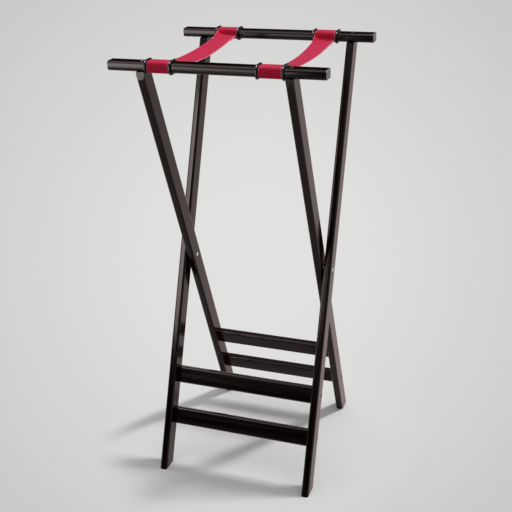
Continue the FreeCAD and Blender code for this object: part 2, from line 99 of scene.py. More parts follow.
def lacqueredWood(name, grainTurn, forRails=False):
    material, tree = newMaterial(name)
    place = addNode(tree, "ShaderNodeTexCoord").outputs["Object"]
    pores = addNode(tree, "ShaderNodeMapping", {
        "Vector": place, "Rotation": grainTurn,
        "Scale": (lacquer["poreWidth"], lacquer["poreWidth"], lacquer["poreLength"])}, vector_type="TEXTURE")
    figure = addNode(tree, "ShaderNodeMapping", {
        "Vector": place, "Rotation": grainTurn,
        "Scale": (lacquer["figureWidth"], lacquer["figureWidth"], lacquer["figureLength"])},
        vector_type="TEXTURE")
    poreNoise = addNode(tree, "ShaderNodeTexNoise", {
        "Vector": pores.outputs[0], "Scale": 1.0, "Detail": 3.0, "Roughness": 0.6})
    figureNoise = addNode(tree, "ShaderNodeTexNoise", {
        "Vector": figure.outputs[0], "Scale": 1.0, "Detail": 2.0, "Distortion": 0.6})
    peelNoise = addNode(tree, "ShaderNodeTexNoise", {
        "Vector": place, "Scale": 1 / lacquer["peel"], "Detail": 1.0})
    grain = addNode(tree, "ShaderNodeMath", {
        0: poreNoise.outputs["Fac"], 1: figureNoise.outputs["Fac"]}, operation="MULTIPLY")
    colour = addNode(tree, "ShaderNodeValToRGB", {"Fac": grain.outputs[0]}, lacquer["grain"]).outputs["Color"]
    gloss = addNode(tree, "ShaderNodeMapRange", {
        "Value": figureNoise.outputs["Fac"],
        "From Min": lacquer["figureRange"][0], "From Max": lacquer["figureRange"][1],
        "To Min": lacquer["roughness"][0], "To Max": lacquer["roughness"][1]}).outputs[0]
    poreBump = addNode(tree, "ShaderNodeBump", {
        "Height": poreNoise.outputs["Fac"],
        "Strength": lacquer["poreBump"], "Distance": lacquer["poreDepth"]})
    surface = addNode(tree, "ShaderNodeBump", {
        "Height": peelNoise.outputs["Fac"], "Normal": poreBump.outputs["Normal"],
        "Strength": lacquer["peelBump"], "Distance": lacquer["peelDepth"]})
    film = 1.0
    if forRails:  # their ends show bare end grain, painted paler with a reflection too, and their faces are crowned
        axes = addNode(tree, "ShaderNodeSeparateXYZ", {"Vector": place}).outputs
        sideways = addNode(tree, "ShaderNodeMath", {0: axes["X"]}, operation="ABSOLUTE")
        atEnd = addNode(tree, "ShaderNodeMath", {
            0: sideways.outputs[0], 1: lacquer["railEnd"]}, operation="GREATER_THAN").outputs[0]
        endGrainAndReflection = addNode(tree, "ShaderNodeValToRGB", {"Fac": poreNoise.outputs["Fac"]}, lacquer["endGrainAndPaintedReflection"])
        colour = addNode(tree, "ShaderNodeMix", {
            "Factor": atEnd, "A": colour, "B": endGrainAndReflection.outputs["Color"]}, data_type="VECTOR").outputs[1]
        gloss = addNode(tree, "ShaderNodeMath", {
            0: atEnd, 1: lacquer["endDulling"], 2: gloss}, operation="MULTIPLY_ADD").outputs[0]
        film = addNode(tree, "ShaderNodeMath", {0: 1.0, 1: atEnd}, operation="SUBTRACT").outputs[0]
        offAxis = addNode(tree, "ShaderNodeMath", {
            0: axes["Z"], 1: lacquer["railAxis"]}, operation="SUBTRACT")
        squared = addNode(tree, "ShaderNodeMath", {0: offAxis.outputs[0], 1: 2.0}, operation="POWER")
        fall = addNode(tree, "ShaderNodeMath", {
            0: squared.outputs[0], 1: -0.5 / lacquer["crownRadius"]}, operation="MULTIPLY")
        surface = addNode(tree, "ShaderNodeBump", {
            "Height": fall.outputs[0], "Strength": 1.0, "Distance": 1.0, "Normal": surface.outputs["Normal"]})
    shader = addNode(tree, "ShaderNodeBsdfPrincipled", {
        "Base Color": colour, "Roughness": gloss, "IOR": lacquer["ior"], "Coat Weight": film,
        "Coat Roughness": lacquer["filmRoughness"], "Coat IOR": lacquer["filmIor"],
        "Coat Tint": toLinear(lacquer["filmTint"]), "Normal": surface.outputs["Normal"]})
    addNode(tree, "ShaderNodeOutputMaterial", {"Surface": shader.outputs[0]})
    return material


lean = math.atan2(lacquer["legRun"], lacquer["legHeight"])
railLacquer = lacqueredWood("espresso_lacquer_grain_across_crowned", (0.0, math.pi / 2, 0.0), forRails=True)
slatLacquer = lacqueredWood("espresso_lacquer_grain_across", (0.0, math.pi / 2, 0.0))
innerLegLacquer = lacqueredWood("espresso_lacquer_grain_inner_leg", (lean, 0.0, 0.0))
outerLegLacquer = lacqueredWood("espresso_lacquer_grain_outer_leg", (-lean, 0.0, 0.0))


def finishSurface(tree, look, colourBy, glossBy, bumpBy):
    # the small parts' finishes: what the colour, the gloss and the bump follow
    glossRange = look.get("glossRange", (0.0, 1.0))
    colour = addNode(tree, "ShaderNodeValToRGB", {"Fac": colourBy}, look["tone"])
    gloss = addNode(tree, "ShaderNodeMapRange", {
        "Value": glossBy, "From Min": glossRange[0], "From Max": glossRange[1],
        "To Min": look["roughness"][0], "To Max": look["roughness"][1]})
    bump = addNode(tree, "ShaderNodeBump", {
        "Height": bumpBy, "Strength": look["bump"], "Distance": look["depth"]})
    shader = addNode(tree, "ShaderNodeBsdfPrincipled", {
        "Base Color": colour.outputs["Color"], "Roughness": gloss.outputs[0],
        "Normal": bump.outputs["Normal"], **look["shader"]})
    addNode(tree, "ShaderNodeOutputMaterial", {"Surface": shader.outputs[0]})


# moulded rubber: black, smooth from the mould, small sharp highlights
rubber = dict(
    tone=[(0.45, "#070707"), (0.8, "#131312")], patch=9 * mm, glossRange=(0.3, 0.7), roughness=(0.06, 0.13),
    grit=1.2 * mm, bump=0.06, depth=0.2 * mm, shader={"IOR": 1.36},
)
rubberBlack, tree = newMaterial("moulded_black_rubber")
place = addNode(tree, "ShaderNodeTexCoord").outputs["Object"]
grit = addNode(tree, "ShaderNodeTexNoise", {"Vector": place, "Scale": 1 / rubber["grit"], "Detail": 3.0})
patch = addNode(tree, "ShaderNodeTexNoise", {"Vector": place, "Scale": 1 / rubber["patch"], "Detail": 2.0})
finishSurface(tree, rubber, patch.outputs["Fac"], patch.outputs["Fac"], grit.outputs["Fac"])

# zinc-plated steel: bright grey metal with a faint cloudy spangle and turned scratches
zinc = dict(
    tone=[(0.1, "#eceef0"), (0.9, "#cdd1d4")], spangle=2.2 * mm, scratch=0.5 * mm, roughness=(0.14, 0.3),
    bump=0.1, depth=0.1 * mm, shader={"Metallic": 1.0},
)
zincSteel, tree = newMaterial("zinc_plated_steel")
place = addNode(tree, "ShaderNodeTexCoord").outputs["Object"]
spangle = addNode(tree, "ShaderNodeTexVoronoi", {"Vector": place, "Scale": 1 / zinc["spangle"]})
scratch = addNode(tree, "ShaderNodeTexNoise", {"Vector": place, "Scale": 1 / zinc["scratch"], "Detail": 2.0})
finishSurface(tree, zinc, spangle.outputs["Distance"], scratch.outputs["Fac"], scratch.outputs["Fac"])

# blackened steel: the slat screws' oiled black oxide, dull dark dots on the legs with no bare metal showing
blackening = dict(
    tone=[(0.45, "#060606"), (0.75, "#121213")], wear=1.5 * mm, roughness=(0.75, 0.6),
    bump=0.1, depth=0.1 * mm, shader={"Specular IOR Level": 0.15},
)
blackSteel, tree = newMaterial("blackened_oiled_steel")
place = addNode(tree, "ShaderNodeTexCoord").outputs["Object"]
wear = addNode(tree, "ShaderNodeTexNoise", {
    "Vector": place, "Scale": 1 / blackening["wear"], "Detail": 3.0}).outputs["Fac"]
finishSurface(tree, blackening, wear, wear, wear)

# nylon washer: black, slightly waxy, with a fine moulded grain
nylon = dict(
    tone=[(0.4, "#121212"), (0.7, "#1f1f1f")], grit=0.8 * mm, roughness=(0.38, 0.55),
    bump=0.15, depth=0.1 * mm, shader={"IOR": 1.53},
)
nylonBlack, tree = newMaterial("moulded_black_nylon")
place = addNode(tree, "ShaderNodeTexCoord").outputs["Object"]
grit = addNode(tree, "ShaderNodeTexNoise", {
    "Vector": place, "Scale": 1 / nylon["grit"], "Detail": 3.0}).outputs["Fac"]
finishSurface(tree, nylon, grit, grit, grit)

# beech dowel: bare pale wood with short brown flecks along its length
beech = dict(
    tone=[(0.35, "#8e6238"), (0.55, "#c9a377")], fleckWidth=0.6 * mm, fleckLength=4 * mm,
    roughness=(0.55, 0.7), bump=0.2, depth=0.2 * mm, shader={"IOR": 1.5},
)
beechBare, tree = newMaterial("bare_turned_beech")
place = addNode(tree, "ShaderNodeTexCoord").outputs["Object"]
flecks = addNode(tree, "ShaderNodeMapping", {
    "Vector": place, "Rotation": (0.0, math.pi / 2, 0.0),
    "Scale": (beech["fleckWidth"], beech["fleckWidth"], beech["fleckLength"])}, vector_type="TEXTURE")
fleck = addNode(tree, "ShaderNodeTexNoise", {
    "Vector": flecks.outputs[0], "Scale": 1.0, "Detail": 2.0}).outputs["Fac"]
finishSurface(tree, beech, fleck, fleck, fleck)

# bonded polyester thread: crimson, a touch darker than the strap, with a rounded gloss
thread = dict(
    tone=[(0.35, "#980d2c"), (0.65, "#b41d3e")], twist=0.7 * mm, roughness=(0.35, 0.5),
    bump=0.2, depth=0.15 * mm, shader={"IOR": 1.5, "Specular IOR Level": 0.1},
)
crimsonThread, tree = newMaterial("crimson_bonded_thread")
place = addNode(tree, "ShaderNodeTexCoord").outputs["Object"]
twist = addNode(tree, "ShaderNodeTexNoise", {
    "Vector": place, "Scale": 1 / thread["twist"], "Detail": 2.0}).outputs["Fac"]
finishSurface(tree, thread, twist, twist, twist)

# woven webbing: crimson filament yarn, satin, rosy where it is seen at a low angle, paler at the selvedge,
# where a painted edge highlight adds to the lighter woven edge
weave = dict(
    yarn="#d4163c", yarnLight="#dc1c43", gap="#b0102e", gapWidth=0.22 * mm,
    floatLength=3.0 * mm, yarnWidth=1.9 * mm,  # real floats are 1.6 x 1 mm, drawn coarser so that they show
    bump=0.25, depth=0.25 * mm,
    cloud=14 * mm, cloudRange=(0.3, 0.7), cloudShade=(0.95, 1.05), roughness=(0.42, 0.58),
    # the selvedge colour is the lighter woven edge together with a painted edge highlight
    selvedge="#f290a8", width=46 * mm, selvedgeWidth=1.8 * mm,
    ior=1.5, gloss=0.02, sheen=0.62, sheenRoughness=0.45, sheenTint="#ffa6d6",
)
crimsonWebbing, tree = newMaterial("crimson_woven_webbing")
place = addNode(tree, "ShaderNodeTexCoord").outputs["UV"]  # u along the strap, v across it, both in metres
floats = addNode(tree, "ShaderNodeTexBrick", {
    "Vector": place, "Color1": toLinear(weave["yarn"]), "Color2": toLinear(weave["yarnLight"]),
    "Mortar": toLinear(weave["gap"]), "Scale": 1.0, "Mortar Size": weave["gapWidth"], "Mortar Smooth": 1.0,
    "Bias": 0.0, "Brick Width": weave["floatLength"], "Row Height": weave["yarnWidth"]},
    offset=0.5, offset_frequency=2)
cloud = addNode(tree, "ShaderNodeTexNoise", {"Vector": place, "Scale": 1 / weave["cloud"], "Detail": 3.0})
shade = addNode(tree, "ShaderNodeMapRange", {
    "Value": cloud.outputs["Fac"], "From Min": weave["cloudRange"][0], "From Max": weave["cloudRange"][1],
    "To Min": weave["cloudShade"][0], "To Max": weave["cloudShade"][1]})
shaded = addNode(tree, "ShaderNodeVectorMath", {
    0: floats.outputs["Color"], "Scale": shade.outputs[0]}, operation="SCALE")
strapAxes = addNode(tree, "ShaderNodeSeparateXYZ", {"Vector": place}).outputs
offMiddle = addNode(tree, "ShaderNodeMath", {0: strapAxes["Y"], 1: weave["width"] / 2}, operation="SUBTRACT")
offMiddleSize = addNode(tree, "ShaderNodeMath", {0: offMiddle.outputs[0]}, operation="ABSOLUTE")
# the band at each edge that takes the selvedge colour and its painted highlight
selvedgeAndHighlight = addNode(tree, "ShaderNodeMapRange", {
    "Value": offMiddleSize.outputs[0], "From Min": weave["width"] / 2 - weave["selvedgeWidth"],
    "From Max": weave["width"] / 2})
woven = addNode(tree, "ShaderNodeMix", {
    "Factor": selvedgeAndHighlight.outputs[0], "A": shaded.outputs[0], "B": toLinear(weave["selvedge"])[:3]},
    data_type="VECTOR")
weaveBump = addNode(tree, "ShaderNodeBump", {
    "Height": floats.outputs["Fac"], "Strength": weave["bump"], "Distance": weave["depth"]}, invert=True)
satin = addNode(tree, "ShaderNodeMapRange", {
    "Value": cloud.outputs["Fac"], "To Min": weave["roughness"][0], "To Max": weave["roughness"][1]})
webbingShader = addNode(tree, "ShaderNodeBsdfPrincipled", {
    "Base Color": woven.outputs[1], "Roughness": satin.outputs[0], "Normal": weaveBump.outputs["Normal"],
    "IOR": weave["ior"], "Specular IOR Level": weave["gloss"], "Sheen Weight": weave["sheen"],
    "Sheen Roughness": weave["sheenRoughness"], "Sheen Tint": toLinear(weave["sheenTint"])})
addNode(tree, "ShaderNodeOutputMaterial", {"Surface": webbingShader.outputs[0]})
print("materials made")

# the rigid CAD parts keep their shape and get their finish
finishes = [
    ("_rail_screws", zincSteel), ("_slat_screws", blackSteel), ("_slat_dowels", beechBare),
    ("_pivot_bolt", zincSteel), ("_pivot_nut", zincSteel), ("_pivot_washer", nylonBlack),
    ("_ring", rubberBlack), ("_inner_leg", innerLegLacquer), ("_outer_leg", outerLegLacquer),
    ("_rail", railLacquer), ("_slat", slatLacquer),
    ("_strap_loop", crimsonWebbing), ("_strap_span", crimsonWebbing),
]
for nodeName, nodeObject in frame["nodes"].items():
    finish = next(material for ending, material in finishes if nodeName.endswith(ending))
    for slot in nodeObject.material_slots:
        slot.material = finish
print("parts finished")

# the two straps: each is sewn round both rails and hangs between them
lyingEdge = dict(rise=0.0, settle=1.0, leave=0.0)  # an edge that lies on the rail and doesn't peel
strap = dict(
    width=46.0, thickness=1.6, spacing=232.0, clearance=0.1,  # every length here is in mm
    railReach=187.0, railHeight=955.0, railHalfDepth=15.0, railHalfHeight=10.0, railRound=6.0,
    bend=2.6, bendRun=2.0, lip=7.5, tail=34.0, exitHeight=-2.0,
    exitDrop={"left_front": 0.0, "left_back": 0.0, "right_front": 1.2, "right_back": 3.8},
    sag=(13.6, 8.6),  # of the inside and outside edges
    sagPower=1.12, lowPoint={"left": -0.16, "right": 0.22},
    # the inside and outside edge at the back rail: how far it rises at the lip, the run in which it settles
    # and the degrees at which it leaves the rail's round
    peel={"left": (lyingEdge, dict(rise=8.0, settle=24.0, leave=50.0)),
          "right": (dict(rise=5.0, settle=15.0, leave=40.0), lyingEdge)},
    settlePower=1.5, flarePower=5.0,
    tailLeave=305.0, tailLeavePerRise=6.0,  # degrees at which the sewn end leaves it, more for a high lip
    foldedMiddle=(-150.0, 908.0),  # where the middle hangs when the stand is shut, y and z
    rowsAlong=30, columnsAcross=20, approachPoints=30, arcSteps=8, curveSteps=12,
    slopeStep=0.5, sharpDegrees=60,
)
# the woven edge: mm in from it, share of the strap's thickness
selvedge = [(0.0, 0.35), (0.25, 0.72), (0.7, 0.98), (1.8, 1.05), (3.2, 1.0)]
faceReach = strap["railHalfDepth"] + strap["clearance"] + strap["thickness"]  # to the loop's outside
lipReach = faceReach + strap["lip"]  # both from the rail's middle
lipPlace = strap["railReach"] - lipReach  # the y at which the hanging part begins
tailPlace = strap["railReach"] - faceReach - strap["tail"]
sideSign = {"left": -1, "right": 1}
endSign = {"front": -1, "back": 1}
endBody = {"front": "inner_frame", "back": "outer_frame"}


def strapColumns():
    plainWidth = strap["width"] - 2 * selvedge[-1][0]
    steps = strap["columnsAcross"]
    plain = [(selvedge[-1][0] + plainWidth * i / steps, 1.0) for i in range(1, steps)]
    return selvedge + plain + [(strap["width"] - inward, share) for inward, share in reversed(selvedge)]


def acrossPoint(edges, flares, share):
    # a point across the strap: the flares lift its edges and die away towards its middle
    power = strap["flarePower"]
    return edges[0].lerp(edges[1], share) + flares[0] * (1 - share) ** power + flares[1] * share ** power


def addStrip(bm, rows):
    # one closed length of webbing; a row is its two edges, their flares, its normal and the distance along
    columns = strapColumns()
    rings, places = [], {}
    for edges, flares, normal, run in rows:
        top, low = [], []
        for inward, share in columns:
            middle = acrossPoint(edges, flares, inward / strap["width"])
            half = normal * (share * strap["thickness"] / 2)
            top.append(bm.verts.new((middle + half) * mm))
            low.append(bm.verts.new((middle - half) * mm))
            places[top[-1]] = places[low[-1]] = (run * mm, inward * mm)
        rings.append((top, low))
    faces = []
    last = len(columns) - 1
    for (topA, lowA), (topB, lowB) in zip(rings, rings[1:]):
        for i in range(last):
            faces.append(bm.faces.new((topA[i], topA[i + 1], topB[i + 1], topB[i])))
            faces.append(bm.faces.new((lowA[i + 1], lowA[i], lowB[i], lowB[i + 1])))
        faces.append(bm.faces.new((topA[0], topB[0], lowB[0], lowA[0])))
        faces.append(bm.faces.new((topA[last], lowA[last], lowB[last], topB[last])))
    for top, low in (rings[0], rings[-1]):
        for i in range(last):
            faces.append(bm.faces.new((top[i], top[i + 1], low[i + 1], low[i])))
    uvLayer = bm.loops.layers.uv.verify()
    for face in faces:
        for loop in face.loops:
            loop[uvLayer].uv = places[loop.vert]


def finishStrip(name, bm):
    bmesh.ops.recalc_face_normals(bm, faces=bm.faces)
    mesh = bpy.data.meshes.new(name)
    bm.to_mesh(mesh)
    bm.free()
    mesh.shade_smooth()
    mesh.set_sharp_from_angle(angle=math.radians(strap["sharpDegrees"]))
    mesh.materials.append(crimsonWebbing)
    piece = bpy.data.objects.new(name, mesh)
    bpy.context.scene.collection.objects.link(piece)
    return piece


def arcPoints(middle, radius, start, stop):
    steps = strap["arcSteps"]
    angles = [math.radians(start + (stop - start) * step / steps) for step in range(steps + 1)]
    return [Vector((middle[0] + radius * math.cos(angle), middle[1] + radius * math.sin(angle)))
            for angle in angles]


def curvePoints(begin, end, beginWay, endWay):
    length = (end - begin).length
    points = []
    for step in range(strap["curveSteps"] + 1):
        t = step / strap["curveSteps"]
        points.append(begin * (2 * t**3 - 3 * t**2 + 1) + beginWay * (length * (t**3 - 2 * t**2 + t))
                      + end * (3 * t**2 - 2 * t**3) + endWay * (length * (t**3 - t**2)))
    return points


def evenPoints(points, count):
    runs = [0.0]
    for before, after in zip(points, points[1:]):
        runs.append(runs[-1] + (after - before).length)
    even, i = [], 0
    for step in range(count):
        run = runs[-1] * step / (count - 1)
        while i < len(points) - 2 and runs[i + 1] < run:
            i += 1
        even.append(points[i].lerp(points[i + 1], (run - runs[i]) / max(1e-6, runs[i + 1] - runs[i])))
    return even


def heading(degrees):
    angle = math.radians(degrees)
    return Vector((math.cos(angle), math.sin(angle)))


def edgePeel(side, end, edge):
    return strap["peel"][side][edge] if end == "back" else lyingEdge


def loopLine(height, slope, leave, shared):
    # one edge's middle line round a rail, in from the span, over the top and back under it
    gap = strap["clearance"] + strap["thickness"] / 2
    depth, turn = strap["railHalfDepth"] + gap, strap["railRound"] + gap
    over, rise = depth - turn, strap["railHalfHeight"] + gap - turn  # middle of the rail's upper round
    lip, way = Vector((lipReach, height)), Vector((1.0, slope)).normalized()
    if leave:
        onRound = arcPoints((over, rise), turn, leave, shared)
        approach = curvePoints(lip, onRound[0], -way, heading(leave + 90.0))[:-1] + onRound
    else:
        bendPlace = depth + strap["bend"]
        approach = [lip, Vector((bendPlace + strap["bendRun"], height))]
        approach += arcPoints((bendPlace, height + strap["bend"]), strap["bend"], 270.0, 180.0)
        approach += arcPoints((over, rise), turn, 0.0, shared)
    line = evenPoints(approach, strap["approachPoints"])[:-1]
    raised = height - strap["exitHeight"] + strap["thickness"] / 2
    under = strap["tailLeave"] + strap["tailLeavePerRise"] * raised
    line += arcPoints((over, rise), turn, shared, 90.0) + arcPoints((-over, rise), turn, 90.0, 180.0)
    line += arcPoints((-over, -rise), turn, 180.0, 270.0) + arcPoints((over, -rise), turn, 270.0, under)
    end = lip - Vector((-way.y, way.x)) * strap["thickness"]
    return line + curvePoints(line[-1], end, heading(under + 90.0), way)[1:]


def loopRows(side, end):
    shared = max(edgePeel(side, end, edge)["leave"] for edge in (0, 1))
    lying, peeled = [], []
    for edge in (0, 1):
        peel = edgePeel(side, end, edge)
        height = spanHeight(side, endSign[end] * lipPlace, edge) - strap["railHeight"]
        slope = -strap["settlePower"] * peel["rise"] / peel["settle"]
        lying.append(loopLine(height, 0.0, 0.0, shared))
        peeled.append(loopLine(height + peel["rise"], slope, peel["leave"], shared))
    rows, run = [], 0.0
    line = lying[0]
    for i, point in enumerate(line):
        ahead = (line[min(i + 1, len(line) - 1)] - line[max(i - 1, 0)]).normalized()
        run += (point - line[i - 1]).length if i else 0.0
        normal = Vector((0.0, -endSign[end] * ahead.y, -ahead.x))
        edges, flares = [], []
        for edge in (0, 1):
            spot, lift = lying[edge][i], peeled[edge][i] - lying[edge][i]
            y, z = endSign[end] * (strap["railReach"] - spot.x), strap["railHeight"] + spot.y
            edges.append(Vector((edgeX(side, edge), y, z)))
            flares.append(Vector((0.0, -endSign[end] * lift.x, lift.y)))
        rows.append((edges, flares, normal, run))
    return rows, run


def edgeX(side, edge):
    return sideSign[side] * (strap["spacing"] + (2 * edge - 1) * strap["width"]) / 2


def spanHeight(side, y, edge):
    s = y / lipPlace
    lipHeight = strap["railHeight"] + strap["exitHeight"] - strap["thickness"] / 2
    front, back = (lipHeight - strap["exitDrop"][f"{side}_{end}"] for end in ("front", "back"))
    hang = max(0.0, 1 - s * s) ** strap["sagPower"] * (1 + strap["lowPoint"][side] * s)
    return front + (back - front) * (s + 1) / 2 - strap["sag"][edge] * hang


def spanEdges(side, y):
    edges, flares = [], []
    for edge in (0, 1):
        peel = edgePeel(side, "back", edge)
        unsettled = 1 - min(1.0, (lipPlace - y) / peel["settle"])
        edges.append(Vector((edgeX(side, edge), y, spanHeight(side, y, edge))))
        flares.append(Vector((0.0, 0.0, peel["rise"] * unsettled ** strap["settlePower"])))
    return edges, flares


def spanNormal(side, y):
    before, after = max(-lipPlace, y - strap["slopeStep"]), min(lipPlace, y + strap["slopeStep"])
    inside, outside = spanEdges(side, y)[0]
    ahead = acrossPoint(*spanEdges(side, after), 0.5) - acrossPoint(*spanEdges(side, before), 0.5)
    normal = (outside - inside).cross(ahead).normalized()
    return normal if normal.z > 0 else -normal


def spanRows(side, end, stop, depth):
    steps = strap["rowsAlong"]
    rows = []
    for step in range(steps + 1):
        y = endSign[end] * (lipPlace + (stop - lipPlace) * step / steps)
        normal = spanNormal(side, y)
        edges, flares = spanEdges(side, y)
        rows.append(([edge - normal * depth for edge in edges], flares, normal, lipPlace - abs(y)))
    return rows


def foldedSquash(piece, end):
    # works out where the middle would hang when the stand is shut, and gives the piece a mesh of its own
    target = Vector((0.0, *strap["foldedMiddle"]))
    if end == "back":
        pivot = Vector(foldJoint["pos_m"]) / mm
        turn = Matrix.Rotation(-math.radians(max(foldJoint["range_deg"])), 3, Vector(foldJoint["axis"]))
        pivot.x = 0.0
        target = pivot + turn @ (target - pivot)
    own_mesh(piece)


# stitches: a sewn box through both plies of each strap end
stitching = dict(
    pitch=4.2 * mm, length=3.2 * mm, thickness=0.8 * mm,
    edgeMargin=5.0, endMargin=4.0, lift=0.1, lineSteps=12,  # margins and lift in mm, as the strap
)
stitchTree = bpy.data.node_groups.new("sewn_stitches", "GeometryNodeTree")
for socketName, socketType in (("Lines", "NodeSocketGeometry"), ("Pitch", "NodeSocketFloat"),
                               ("Stitch Length", "NodeSocketFloat"), ("Thread Thickness", "NodeSocketFloat")):
    stitchTree.interface.new_socket(name=socketName, in_out="INPUT", socket_type=socketType)
stitchTree.interface.new_socket(name="Stitches", in_out="OUTPUT", socket_type="NodeSocketGeometry")
given = addNode(stitchTree, "NodeGroupInput").outputs
curves = addNode(stitchTree, "GeometryNodeMeshToCurve", {"Mesh": given["Lines"]})
spots = addNode(stitchTree, "GeometryNodeResampleCurve", {
    "Curve": curves.outputs[0], "Length": given["Pitch"]}, mode="LENGTH")
alongLine = addNode(stitchTree, "FunctionNodeAlignRotationToVector", {
    "Vector": addNode(stitchTree, "GeometryNodeInputTangent").outputs[0]}, axis="X")
stitchSize = addNode(stitchTree, "ShaderNodeCombineXYZ", {
    "X": given["Stitch Length"], "Y": given["Thread Thickness"], "Z": given["Thread Thickness"]})
bead = addNode(stitchTree, "GeometryNodeMeshIcoSphere", {"Radius": 0.5, "Subdivisions": 2})
smoothBead = addNode(stitchTree, "GeometryNodeSetShadeSmooth", {"Geometry": bead.outputs[0]})
sewn = addNode(stitchTree, "GeometryNodeInstanceOnPoints", {
    "Points": spots.outputs[0], "Instance": smoothBead.outputs[0],
    "Rotation": alongLine.outputs[0], "Scale": stitchSize.outputs[0]})
real = addNode(stitchTree, "GeometryNodeRealizeInstances", {"Geometry": sewn.outputs[0]})
dyed = addNode(stitchTree, "GeometryNodeSetMaterial", {
    "Geometry": real.outputs[0], "Material": crimsonThread})
addNode(stitchTree, "NodeGroupOutput", {"Stitches": dyed.outputs[0]})


def stitchLines(side, end):
    # the sewn box on the upper face and the same on the underside of the tail
    nearEnd, farEnd = lipPlace - stitching["endMargin"], tailPlace + stitching["endMargin"]
    low, high = stitching["edgeMargin"] / strap["width"], 1 - stitching["edgeMargin"] / strap["width"]
    corners = [(nearEnd, low), (nearEnd, high), (farEnd, high), (farEnd, low), (nearEnd, low)]
    steps = stitching["lineSteps"]
    points, links = [], []
    for lift in (strap["thickness"] / 2 + stitching["lift"], -strap["thickness"] * 1.5 - stitching["lift"]):
        for (yA, shareA), (yB, shareB) in zip(corners, corners[1:]):
            for step in range(steps + 1):
                y = endSign[end] * (yA + (yB - yA) * step / steps)
                spot = acrossPoint(*spanEdges(side, y), shareA + (shareB - shareA) * step / steps)
                points.append((spot + spanNormal(side, y) * lift) * mm)
                if step:
                    links.append((len(points) - 2, len(points) - 1))
    return points, links


def sewStitches(side, end):
    name = f"{side}_{end}_strap_stitches"
    lineMesh = bpy.data.meshes.new(name + "_lines")
    lineMesh.from_pydata(*stitchLines(side, end), [])
    lines = bpy.data.objects.new(name + "_lines", lineMesh)
    bpy.context.scene.collection.objects.link(lines)
    modifier = lines.modifiers.new("sewn", "NODES")
    modifier.node_group = stitchTree
    wanted = {"Pitch": stitching["pitch"], "Stitch Length": stitching["length"],
              "Thread Thickness": stitching["thickness"]}
    for item in stitchTree.interface.items_tree:
        if item.in_out == "INPUT" and item.name in wanted:
            modifier[item.identifier] = wanted[item.name]
    mesh = bpy.data.meshes.new_from_object(lines.evaluated_get(bpy.context.evaluated_depsgraph_get()))
    mesh.name = name
    bpy.data.objects.remove(lines)
    stitches = bpy.data.objects.new(name, mesh)
    bpy.context.scene.collection.objects.link(stitches)
    return stitches


for side in sideSign:
    for end in endSign:
        rows, length = loopRows(side, end)
        bm = bmesh.new()
        addStrip(bm, rows)
        loopPiece = finishStrip(f"{side}_{end}_strap_wrap", bm)
        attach(loopPiece, endBody[end])
        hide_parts(f"{side}_{end}_strap_loop")
        bm = bmesh.new()
        addStrip(bm, spanRows(side, end, 0.0, 0.0))
        addStrip(bm, spanRows(side, end, tailPlace, strap["thickness"]))
        halfPiece = finishStrip(f"{side}_{end}_strap_half", bm)
        stitches = sewStitches(side, end)
        for piece in (halfPiece, stitches):
            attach(piece, endBody[end])
            foldedSquash(piece, end)
        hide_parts(f"{side}_strap_span")
print("straps sewn")

# studio: pale paper floor, one soft key from the back right, white cards in front and above
studio = dict(
    floorSize=60.0, floorBounce=0.5, floorRoughness=0.9, floorGloss=0.1,
    floorSpeck=3 * mm, speckBump=0.05, speckDepth=0.2 * mm,
    # the pool of light painted on the paper, which widens towards the back, and its colours from the middle
    # out
    poolPlace=(-0.394, 1.051, 0.0), poolTurn=20.6, poolReach=(1.244, 3.138, 1.0),
    poolWidening=0.857, poolNarrowest=0.05,
    paintedPoolColours=[(0.0, "#ebebea"), (0.2, "#e9e9e8"), (0.37, "#e6e6e5"), (0.71, "#dcdcdb"), (1.0, "#d2d2d1")],
    shadowFade=(0.3, 0.42), paintedGlowLevel=0.92,  # metres over which the shadows fade into a painted glow, and the paper's brightness beyond, where it glows
    backdrop="#cbcbca",
    # height of the direction and brightness, for the light that the room gives
    sky=[(0.0, 0.55), (0.05, 0.2), (0.14, 0.05), (0.4, 0.07), (0.7, 0.5), (1.0, 1.15)],
    keyTowards=(0.488, 0.432, 0.758), keyDistance=60.0, keyWidth=4.4, keyLength=17.0, keyStrength=1.8,
    cards=[  # name, place, height that it faces on the stand's middle, width, height, brightness
        ("left_card", (-0.95, -1.25, 1.1), 1.1, 0.6, 1.0, 10.0),
        ("front_card", (-0.42, -1.3, 0.82), 0.82, 0.44, 0.3, 5.5),
        ("top_card", (-0.65, -0.55, 2.4), 0.9, 1.3, 1.0, 3.0),
        ("right_card", (0.75, -0.35, 2.3), 0.9, 0.9, 0.9, 14.0),
        ("overhead_strip", (0.3, -0.4, 2.35), 0.9, 0.22, 1.1, 100.0)],  # draws the bright line on the rings
    flags=[  # name, place, width, height: black cloths that keep the tops and fronts dark
        ("back_flag", (-0.75, 1.6, 1.75), 2.6, 1.5), ("front_flag", (-0.3, -2.4, 1.2), 4.0, 2.2)],
    flagColour="#050505",
)


def seenDirectly(tree):
    # 1 where the camera, a gloss or a clear surface looks, 0 for light that bounces on
    ray = addNode(tree, "ShaderNodeLightPath").outputs
    seen = addNode(tree, "ShaderNodeMath", {
        0: ray["Is Camera Ray"], 1: ray["Is Glossy Ray"]}, operation="MAXIMUM")
    return addNode(tree, "ShaderNodeMath", {
        0: seen.outputs[0], 1: ray["Is Transmission Ray"]}, operation="MAXIMUM").outputs[0]


